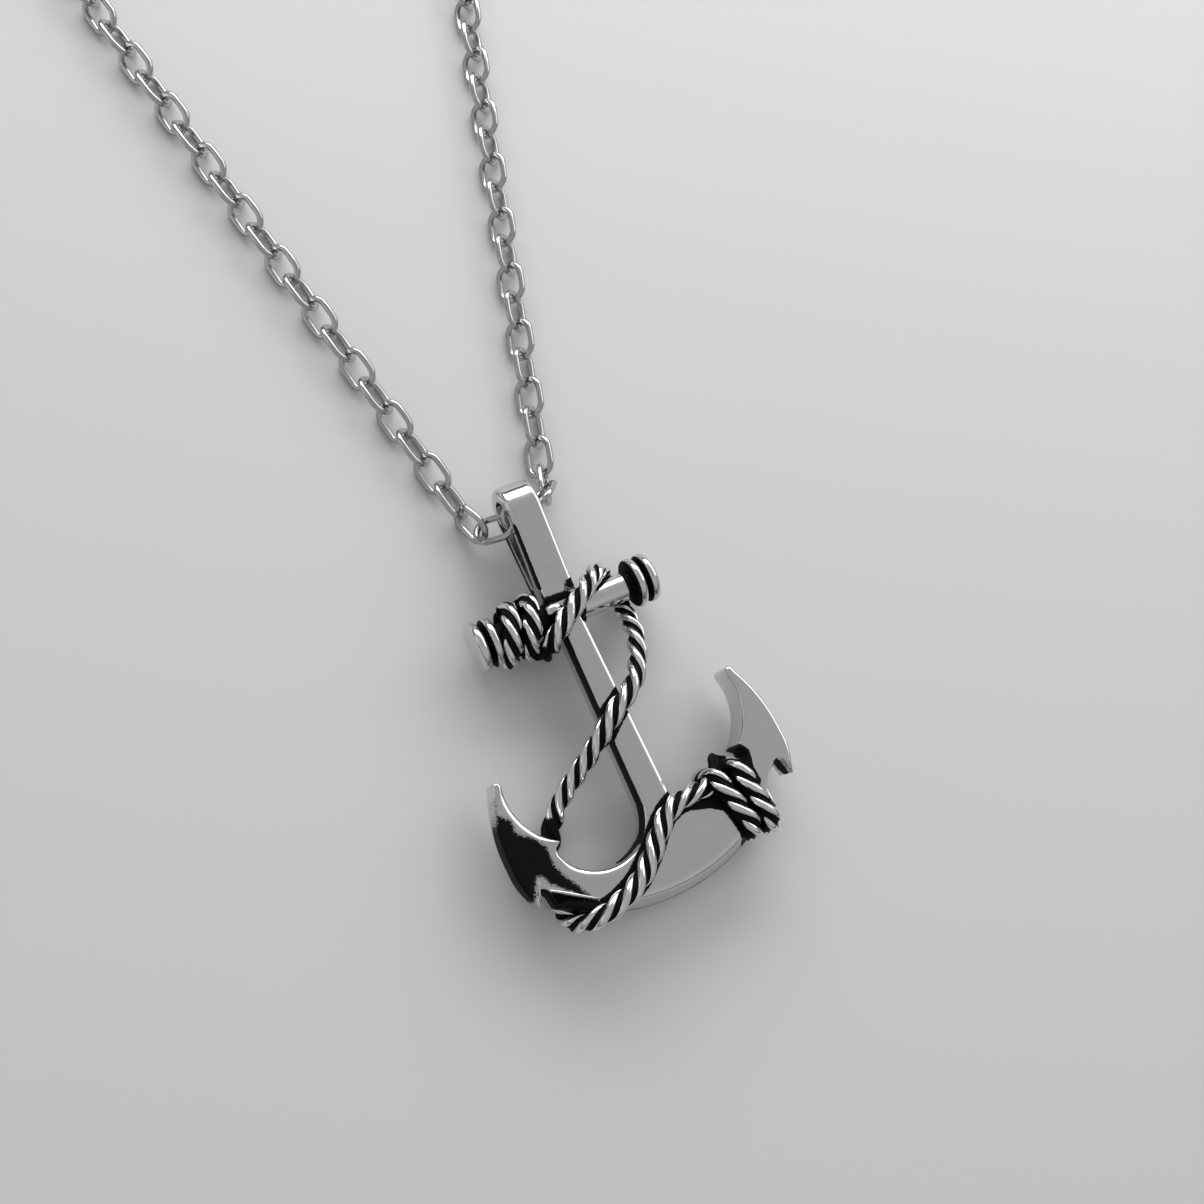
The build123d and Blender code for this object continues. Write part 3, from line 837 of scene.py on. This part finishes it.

# %% [markdown]
# On the plate the black is patina, painted shade and painted dark reflection, in four kinds of places:
# patina and painted shade beside the rope and in the notches, a painted dark reflection down the walls
# beside the shank, and patina with a painted dark reflection and painted shade over the left arm's lower
# side and its hollow. Lines with a radius do for the first three. The last has a shape of its own, so it
# and the painted shadow of the rope beside the knot are flat areas.

# %% Patina and painted shade of the crown
# painted shade over patina in the barbs' notches and beside the rope, and a painted dark reflection down the walls
# beside the shank
CROWN_DARK = [
    ((-11.4, -19.6, 2.0), (-11.4, -19.6, 4.5), 0.3, 0.3), ((-1.1, -15.4, 3.45), (-1.3, -17.4, 3.45), 0.85, 0.2),
    ((-1.3, -17.4, 3.45), (-2.4, -19.3, 3.4), 0.85, 0.2), ((-2.2, -19.3, 3.0), (-4.2, -20.0, 2.8), 0.5, 0.4),
    ((11.3, -18.5, 3.1), (11.6, -19.3, 3.1), 0.7, 0.3), ((1.4, -17.0, 4.4), (1.8, -17.6, 4.4), 0.3, 0.3),
]
# patina with a painted dark reflection on the left arm, painted shade in its hollow, and the rope's painted shadow
# beside the knot
BLACK_AREAS = [
    ([(-11.78, -11.52), (-12.15, -12.68), (-11.27, -13.57), (-11.38, -14.57), (-10.18, -15.55),
      (-9.62, -16.51), (-9.68, -17.87), (-9.35, -19), (-8.54, -20.36), (-7.81, -21.89), (-9.2, -20.53),
      (-10.58, -19.17), (-10.84, -18.49), (-11.28, -18.21), (-12.24, -19.95), (-12.6, -20.9),
      (-13.6, -18.5), (-13.5, -14.8), (-12.45, -13.3)], 2.2, 1.3),
    (POCKET, 3.0, 0.35),
    ([(1.2, -16.0), (3.0, -15.9), (7.1, -16.0), (8.6, -15.85), (9.1, -16.7), (8.8, -18.0), (8.9, -19.4),
      (5.7, -20.4), (4.8, -20.2), (3.8, -19.5), (2.3, -19.0), (1.2, -18.6)], 2.0, 0.3),
]
write_patina_and_painted_shade(crown, rope_capsules + CROWN_DARK, areas=BLACK_AREAS)
settle(crown, casting_steel)

# %% [markdown]
# Two thin ridges stand on the left arm, where its underside and its barb meet the front. Rubbing keeps
# them bright. Pulling them up out of the net would need far more points there, so each is a thin bar
# that tapers into the plate.

# %% Ridges of the left arm
RIDGES = [[(-11.1, -19.4, 4.3), (-10.1, -20.05, 4.48), (-8.9, -20.9, 4.48), (-7.6, -21.8, 4.35)],
          [(-11.15, -18.2, 4.35), (-11.5, -19.2, 4.5), (-11.95, -20.3, 4.2)]]
bars = []
for route in RIDGES:
    way = smooth_way(route, 0.1)
    taper = np.sin(np.linspace(0.15, math.pi - 0.15, len(way)))[:, None, None] ** 0.5
    rings = strand_rings(way, CORE_OFFSET, 0.14, 5.0, 0.0)
    bars.append(way[:, None, :] + (rings - way[:, None, :]) * taper)
ridges = add_tubes("anchor_ridges", bars)
write_patina_and_painted_shade(ridges, [])
settle(ridges, casting_steel, 60)

# %% [markdown]
# ## Shank
#
# A bar that widens towards the crown, with narrow bevels along its front. A scaled cube could be
# tapered to it in one step, but has no points along its length, and rings across it give the points
# that carry the patina and painted shade beside the rope and the painted dark reflection on its walls.
# It stands a hair above the plate, so that no two faces lie in one plane.


# %% Shank
def half_width_at(y):
    """Half of the shank's width, which grows evenly from the stock to the crown's foot."""
    return 0.9 - 0.35 * y / 20.2


def bar_ring(half_width, y, bevel=0.2, back=BACK, front=FRONT + 0.012):
    """One ring round the bar: its back, a side, the front with its bevels, and the other side."""
    side = [(half_width, back + bevel / 2), (half_width, 2.0), (half_width, 2.25), (half_width, 3.2),
            (half_width, front - bevel), (half_width - 0.29 * bevel, front - 0.29 * bevel)]
    across = half_width - bevel
    face = [(float(place), front) for place in np.linspace(across, -across, 9)]
    ring = [(half_width - bevel / 2, back)] + side + face
    ring += [(-place, height) for place, height in reversed(side)] + [(-half_width + bevel / 2, back)]
    return [(place, y, height) for place, height in ring]


def painted_wall_reflection(points):
    """A painted dark reflection on both walls, above a polished strip along their foot."""
    on_wall = np.abs(points[:, 0]) > half_width_at(points[:, 1]) - 0.05
    highest = np.where(points[:, 0] < 0, 4.35, 4.1)
    return (on_wall & (points[:, 2] > 2.5) & (points[:, 2] < highest)).astype(float)


shank = stack_rings("anchor_shank", [bar_ring(half_width_at(y), float(y)) for y in np.arange(0, -18.3, -0.3)])
write_patina_and_painted_shade(shank, rope_capsules, painted_wall_reflection)
settle(shank, casting_steel)

# %% [markdown]
# The block that the stock goes through is a short slab with rounded corners. Its front edge is rounder
# than its back edge, so each ring of the stack shrinks by its own amount. Its top is one face at the
# end, and is sliced for the patina and painted shade beside the rope.


# %% Head block
def rounded_rectangle(width, length, corner, per_corner=5):
    """Points round a rectangle whose corners are quarter circles."""
    points = []
    for cx, cy, start in ((1, 1, 0), (-1, 1, 90), (-1, -1, 180), (1, -1, 270)):
        for k in range(per_corner):
            angle = math.radians(start + 90 * k / (per_corner - 1))
            points.append((cx * (width / 2 - corner) + corner * math.cos(angle),
                           cy * (length / 2 - corner) + corner * math.sin(angle)))
    return points


def block_ring(shrink, z):
    return [(px, py, z) for px, py in rounded_rectangle(2.6 - 2 * shrink, 3.4 - 2 * shrink, 0.5)]


def is_top(polygon):
    return polygon.center.z > FRONT - 0.01


BLOCK_STATIONS = [(0.1, BACK), (0, 1.6), (0, MIDDLE_Z), (0, 4.3), (0.06, 4.43), (0.2, FRONT)]
# patina and painted shade on the block's top beside the rope
BLOCK_DARK = [((0.9, 0.6, 4.5), (1.2, -1.4, 4.5), 0.5, 0.4), ((-1.2, 1.0, 4.5), (-1.3, -1.7, 4.2), 0.4, 0.3)]
block = stack_rings("anchor_head", [block_ring(shrink, z) for shrink, z in BLOCK_STATIONS])
slice_faces(block, is_top, 0, np.arange(-1.2, 1.3, 0.3))
slice_faces(block, is_top, 1, np.arange(-1.5, 1.6, 0.3))
write_patina_and_painted_shade(block, rope_capsules + BLOCK_DARK)
settle(block, casting_steel)

# %% [markdown]
# A small bright pad lies on the block beside the rope. It has no edges, so a sphere that is squashed
# and mostly sunk into the block is all that it takes.

# %% Pad on the head
deselect_all()
bpy.ops.mesh.primitive_uv_sphere_add(segments=32, ring_count=16, radius=1)
pad = bpy.context.object
pad.name = pad.data.name = "anchor_pad"
pad.data.transform(Matrix.Translation((-1.0, 0.3, 4.25)) @ Matrix.Diagonal((0.85, 0.56, 0.45, 1)))
# painted shade along the pad's foot, on the side towards the rope
write_patina_and_painted_shade(pad, [((-1.9, -0.2, 4.3), (0.0, -0.2, 4.3), 0.2, 0.3)])
settle(pad, casting_steel)

# %% [markdown]
# ## Stock
#
# The stock has the form of turned work: a round bar with two round-edged rims at each end. Spinning
# a profile round the axis would make it. Rings of one circle each, at the bar's stations, give the
# same form with the ends closed as well.


# %% Stock
BAR_RADIUS = 1.23


def circle_ring(x, radius, count=48):
    """One circle round the stock's axis."""
    angles = [2 * math.pi * k / count for k in range(count)]
    return [(x, radius * math.cos(a), MIDDLE_Z + radius * math.sin(a)) for a in angles]


def rim_profile(x, thickness=0.9, radius=2.15, bar=BAR_RADIUS):
    """A rim's stations from its left side to its right side."""
    half = thickness / 2
    profile = [(x - half, bar), (x - half, radius - half)]
    profile += [(x - half * math.cos(a), radius - half + half * math.sin(a)) for a in np.linspace(0.3, 2.84, 9)]
    return profile + [(x + half, radius - half), (x + half, bar)]


CENTRE, REACH = 0.1, 7.8         # the stock's middle, and from there to its outer rims
LEFT, RIGHT = CENTRE - REACH, CENTRE + REACH
RIM_PITCH, END = 1.15, 0.449     # from rim to rim, and from the outer rim's middle to the end face
stations = [(LEFT - END, 0.4), (LEFT - END, 1.3)]
stations += rim_profile(LEFT)[1:] + rim_profile(LEFT + RIM_PITCH)
stations += [(float(v), BAR_RADIUS) for v in np.arange(-5.6, 6.7, 0.5)]
stations += rim_profile(RIGHT - RIM_PITCH) + rim_profile(RIGHT)[:-1]
stations += [(RIGHT + END, 1.3), (RIGHT + END, 0.4)]
stock = stack_rings("anchor_stock", [circle_ring(x, radius) for x, radius in stations])

# %% [markdown]
# The gaps between the rims and the corners behind them are black: patina where the wheel slid past, with
# painted shade over it. They are rings, which a line with a radius can't describe, so a function of the
# points does it.


# %% Finish of the stock
def rim_grooves(points):
    """Black between the rims and just inside them, below the rims' tops."""
    away = np.hypot(points[:, 1], points[:, 2] - MIDDLE_Z)
    dark = np.zeros(len(points))
    for gap in (LEFT + 0.575, RIGHT - 0.575, LEFT + 1.75, RIGHT - 1.75):
        near = np.clip((0.62 - np.abs(points[:, 0] - gap)) / 0.1, 0, 1)
        dark = np.maximum(dark, near * np.clip((2.12 - away) / 0.14, 0, 1))
    return dark


# painted shade over patina on the bar under the rope's two turns, and beside the rope right of the block
STOCK_DARK = [((-6.0, 0, 3.0), (-1.2, 0, 3.0), 1.5, 0.2), ((1.0, -0.9, 4.0), (1.6, 0.6, 4.2), 0.35, 0.3)]
write_patina_and_painted_shade(stock, rope_capsules + STOCK_DARK, rim_grooves)
settle(stock, stock_steel)

# %% [markdown]
# ## Bail
#
# The bail is a flat strap folded over at the top, and the chain runs through the hole between its
# halves. A Boolean could cut the hole out of a solid bar, but leaves long thin faces. We draw the bail
# from the side instead: the outer line round the fold, and the hole's line inside it, both with the
# same number of points.


# %% Bail's side view
def hull_line(centre, radius, foot, foot_radius, count):
    """Line round two circles in the side view (Y and Z), open at the foot's far side."""
    centre, foot = Vector(centre), Vector(foot)
    along = foot - centre
    lean = math.acos((radius - foot_radius) / along.length)
    base = math.atan2(along.y, along.x)
    big = [centre + radius * Vector((math.cos(a), math.sin(a)))
           for a in np.linspace(base + lean, base + 2 * math.pi - lean, count - 8)]
    small = [foot + foot_radius * Vector((math.cos(a), math.sin(a))) for a in np.linspace(base - lean, base + lean, 8)]
    return [tuple(point) for point in big + small]


BAIL_POINTS = 56
BAIL_HALF = 1.425    # half of the strap's width
FOLD = (9.15, 3.7)   # the middle of the fold, in Y and Z
outer_line = hull_line(FOLD, 2.35, (0.9, 3.0), 1.5, BAIL_POINTS)
hole_line = hull_line(FOLD, 1.3, (3.0, 3.1), 0.25, BAIL_POINTS)
print("bail", round(2 * BAIL_HALF, 2), "mm wide, up to", round(max(point[1] for point in outer_line), 2), "mm high")

# %% [markdown]
# The side view becomes a band in three moves. Insetting the face puts a second line inside the first,
# whose points go to the hole's line. The face in the middle is deleted, and the band is extruded across
# the strap's width. Five slices then give its front some points for the patina and painted shade.

# %% Bail
deselect_all()
bpy.ops.mesh.primitive_circle_add(vertices=BAIL_POINTS, radius=1, fill_type="NGON")
bail = bpy.context.object
bail.name = bail.data.name = "anchor_bail"
for vertex, (py, pz) in zip(bail.data.vertices, outer_line):
    vertex.co = (-BAIL_HALF, py, pz)
bpy.ops.object.mode_set(mode="EDIT")
bpy.ops.mesh.select_all(action="SELECT")
bpy.ops.mesh.inset(thickness=0.001)
bpy.ops.mesh.delete(type="FACE")
bpy.ops.object.mode_set(mode="OBJECT")
inner = {}
for edge in bail.data.edges:
    a, b = sorted(edge.vertices)
    if a < BAIL_POINTS <= b:
        inner[b] = a
for b, a in inner.items():
    bail.data.vertices[b].co = (-BAIL_HALF, *hole_line[a])
bpy.ops.object.mode_set(mode="EDIT")
bpy.ops.mesh.select_all(action="SELECT")
bpy.ops.mesh.extrude_region_move(TRANSFORM_OT_translate={"value": (2 * BAIL_HALF, 0, 0)})
bpy.ops.mesh.select_all(action="SELECT")
bpy.ops.mesh.normals_make_consistent(inside=False)
bpy.ops.object.mode_set(mode="OBJECT")
slice_faces(bail, lambda polygon: True, 0, (-1.0, -0.5, 0.0, 0.5, 1.0))
print("bail", len(bail.data.polygons), "faces")

# %% [markdown]
# Polishing rounded the strap's two outer edges. They are chosen by place: both ends lie on the outer
# line, and at one of the sides. The bevel operator then rounds just those.

# %% Round the bail's edges
outer_corners = {tuple(round(c, 3) for c in point) for point in outer_line}


def is_outer_edge(edge):
    ends = [bail.data.vertices[v].co for v in edge.vertices]
    return all(abs(abs(co.x) - BAIL_HALF) < 0.001 and (round(co.y, 3), round(co.z, 3)) in outer_corners for co in ends)


deselect_all()
bail.select_set(True)
bpy.context.view_layer.objects.active = bail
bpy.context.tool_settings.mesh_select_mode = (False, True, False)
bpy.ops.object.mode_set(mode="EDIT")
bpy.ops.mesh.select_all(action="DESELECT")
bpy.ops.object.mode_set(mode="OBJECT")
for edge in bail.data.edges:
    edge.select = is_outer_edge(edge)
print("edges to round", sum(edge.select for edge in bail.data.edges))
bpy.ops.object.mode_set(mode="EDIT")
bpy.ops.mesh.bevel(offset=0.34, segments=4, affect="EDGES")
bpy.ops.object.mode_set(mode="OBJECT")

# %% [markdown]
# A painted dark reflection runs along the bail's rounded left edge, painted shade covers its left flank
# under the fold, and a little painted shade lies at its foot, with patina beside the rope.

# %% Finish of the bail
# painted dark reflection on the rounded left edge, painted shade on the left flank under the fold and at the foot
BAIL_DARK = [
    ((-1.42, 7.6, 5.6), (-1.42, 2.4, 4.6), 0.1, 0.2), ((-1.42, 2.0, 1.9), (-1.42, 8.6, 1.6), 0.75, 0.2),
    ((0.9, 1.7, 4.8), (1.5, 1.9, 4.6), 0.15, 0.5), ((-1.3, 1.1, 4.6), (0.6, 1.0, 4.6), 0.1, 0.6),
]
slice_faces(bail, lambda polygon: True, 1, np.arange(1.1, 9.2, 0.3))
write_patina_and_painted_shade(bail, beside_way(rope_way, 0.6, 0.4) + BAIL_DARK)
settle(bail, casting_steel, 50)

# %% [markdown]
# ## Chain
#
# A cable chain repeats one oval link, each turned across the one before. An array along a curve would
# lay them evenly, but near the bail they hang in ways of their own. The CAD chain knows those places,
# so we split a copy of it into its links and read each link's middle and its three directions: a link
# is longest along itself, less wide across, and thinnest through its wire.


# %% Where the links lie
def link_places(node_name):
    """One matrix per link of a CAD chain: its middle, and its length, width and thickness as axes."""
    deselect_all()
    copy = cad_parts[node_name].copy()
    copy.data = copy.data.copy()
    bpy.context.scene.collection.objects.link(copy)
    copy.parent = None
    copy.matrix_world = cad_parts[node_name].matrix_world.copy()
    copy.select_set(True)
    bpy.context.view_layer.objects.active = copy
    bpy.ops.object.mode_set(mode="EDIT")
    bpy.ops.mesh.select_all(action="SELECT")
    bpy.ops.mesh.remove_doubles(threshold=0.000002)
    bpy.ops.mesh.separate(type="LOOSE")
    bpy.ops.object.mode_set(mode="OBJECT")
    parts = list(bpy.context.selected_objects)
    places = []
    for part in parts:
        points = np.array([part.matrix_world @ vertex.co for vertex in part.data.vertices])
        middle = (points.min(axis=0) + points.max(axis=0)) / 2
        _, spreads = np.linalg.eigh(np.cov((points - middle).T))
        length, width = spreads[:, 2], spreads[:, 1]
        axes = np.stack([length, width, np.cross(length, width)], axis=1)
        reach = (points - middle) @ axes
        middle = middle + axes @ ((reach.min(axis=0) + reach.max(axis=0)) / 2)
        places.append(Matrix.Translation(Vector(middle)) @ Matrix(axes.tolist()).to_4x4())
    for part in parts:
        mesh = part.data
        bpy.data.objects.remove(part)
        bpy.data.meshes.remove(mesh)
    return places


left_places = link_places("chain_left")
right_places = link_places("chain_right")
print("links", len(left_places), len(right_places))


# %% [markdown]
# A link is a round wire bent to an oval, which a torus gives when its halves are moved apart. Near the
# pendant it has many faces. Far off, where it is small in every view, a few dozen do.


# %% One link
def model_link(name, around, along, length=3.99, width=2.85, wire=0.56):
    """Oval of round wire, in millimetres."""
    deselect_all()
    straight = (length - width) / 2
    bpy.ops.mesh.primitive_torus_add(major_segments=along, minor_segments=around, major_radius=(width - wire) / 2,
                                     minor_radius=wire / 2)
    piece = bpy.context.object
    piece.name = name
    for vertex in piece.data.vertices:
        x_now = vertex.co.x
        if abs(x_now) > 1e-4:
            vertex.co.x = x_now + math.copysign(straight, x_now)
    return piece


near_link = model_link("link_near", 12, 32)
far_link = model_link("link_far", 6, 12)
for model in (near_link, far_link):
    deselect_all()
    model.select_set(True)
    bpy.context.view_layer.objects.active = model
    bpy.ops.object.shade_smooth()
    model.data.materials.append(chain_steel)
    print(model.name, len(model.data.polygons), "faces")

# %% [markdown]
# Each copy gets its own mesh, moved to its place, and the copies of one side are joined to one piece
# that stands for the CAD chain.


# %% Copy the link to each place
NEAR = 0.085   # metres from the datum


def lay_chain(name, node_name, places):
    """Copies of the link, fine where they are near the pendant, joined into one piece."""
    copies = []
    for place in places:
        is_near = (place.translation - DATUM).length < NEAR
        model = near_link if is_near else far_link
        copy = model.copy()
        copy.data = model.data.copy()
        copy.data.transform(place @ Matrix.Scale(0.001, 4))
        bpy.context.scene.collection.objects.link(copy)
        copies.append(copy)
    deselect_all()
    for copy in copies:
        copy.select_set(True)
    bpy.context.view_layer.objects.active = copies[0]
    bpy.ops.object.join()
    chain = bpy.context.object
    chain.name = chain.data.name = name
    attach(chain, "root")
    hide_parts(node_name)
    print(name, len(chain.data.polygons), "faces")


lay_chain("links_left", "chain_left", left_places)
lay_chain("links_right", "chain_right", right_places)
for model in (near_link, far_link):
    bpy.data.objects.remove(model)

# %% [markdown]
# The clasp and the end ring have the right shape already, so they stay as they are and only get the
# finish. The casting's ten new pieces together stand for the one CAD casting.

# %% Clasp, ring and the casting's stand-ins
for node_name in ("clasp", "end_ring"):
    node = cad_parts[node_name]
    node.data.materials.clear()
    node.data.materials.append(clasp_steel)
casting = (crown, ridges, shank, block, pad, stock, bail, rope, wraps, knot)
for piece in casting:
    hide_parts("anchor_pendant")
print("casting", [piece.name for piece in casting])

# %% [markdown]
# ## Table and light
#
# The pendant lies on pale paper: a plane a hair below the model, wide enough to fill the camera's
# view. It is scenery and no piece of the object.

# %% Table
deselect_all()
bpy.ops.mesh.primitive_plane_add(size=1.6, location=(0, 0, cad_box[0][2] - 0.00003))
floor = bpy.context.object
floor.name = "table"
paper = bpy.data.materials.new("pale paper")
paper.use_nodes = True
paper_shader = paper.node_tree.nodes["Principled BSDF"]
paper_shader.inputs["Base Color"].default_value = (0.645, 0.65, 0.643, 1)
paper_shader.inputs["Roughness"].default_value = 0.8
floor.data.materials.append(paper)
print("table at", round(floor.location.z, 6))

# %% [markdown]
# Polished metal shows its surroundings, so the lights are shapes to be mirrored as much as lamps. The
# large window is high at the right, near enough that the paper grows darker to the lower left. A wide
# one beyond the bail draws the bright lines along the edges, and a faint one at the left fills.


# %% Lights
def add_panel(name, direction, distance, size, power, tall=None):
    """A rectangular light that faces the pendant from a direction in the pendant's datum."""
    data = bpy.data.lights.new(name, "AREA")
    data.shape = "RECTANGLE"
    data.size = size
    data.size_y = tall or size
    data.energy = power
    panel = bpy.data.objects.new(name, data)
    away = Vector(direction).normalized()
    middle = PLACE @ Vector((0, -6, 2))
    panel.location = middle + away * distance
    panel.rotation_euler = (-away).to_track_quat("-Z", "Y").to_euler()
    bpy.context.scene.collection.objects.link(panel)
    print(name, [round(c, 3) for c in panel.location])


add_panel("window", (0.80, 0.16, 0.52), 0.45, 0.30, 0.47)
add_panel("back window", (0.37, 0.90, 0.50), 0.34, 0.40, 0.95, 0.16)
add_panel("side window", (-0.88, 0.38, 0.27), 0.60, 0.25, 0.10, 0.10)

# %% [markdown]
# The room around is a grey that depends only on the height: dark from the horizon down, lightest from
# half way up, and a little darker overhead. One even grey would leave the steel flat. A colour ramp on
# the direction's height gives all of it. The Standard view keeps the greys as they are set.

# %% Room
world = bpy.data.worlds.new("room")
bpy.context.scene.world = world
world.use_nodes = True
nodes, links = world.node_tree.nodes, world.node_tree.links
direction = nodes.new("ShaderNodeTexCoord")
split = nodes.new("ShaderNodeSeparateXYZ")
links.new(direction.outputs["Generated"], split.inputs["Vector"])
ramp = nodes.new("ShaderNodeValToRGB")
stops = ramp.color_ramp.elements
stops[0].color = (0.06, 0.06, 0.06, 1)
stops[1].color = (0.42, 0.42, 0.43, 1)
for place, grey in ((0.2, 0.28), (0.5, 0.52), (0.8, 0.52)):
    stops.new(place).color = (grey, grey, grey, 1)
links.new(split.outputs["Z"], ramp.inputs["Fac"])
links.new(ramp.outputs["Color"], nodes["Background"].inputs["Color"])
bpy.context.scene.view_settings.view_transform = "Standard"
print("room greys", [(round(stop.position, 2), round(stop.color[0], 2)) for stop in stops])
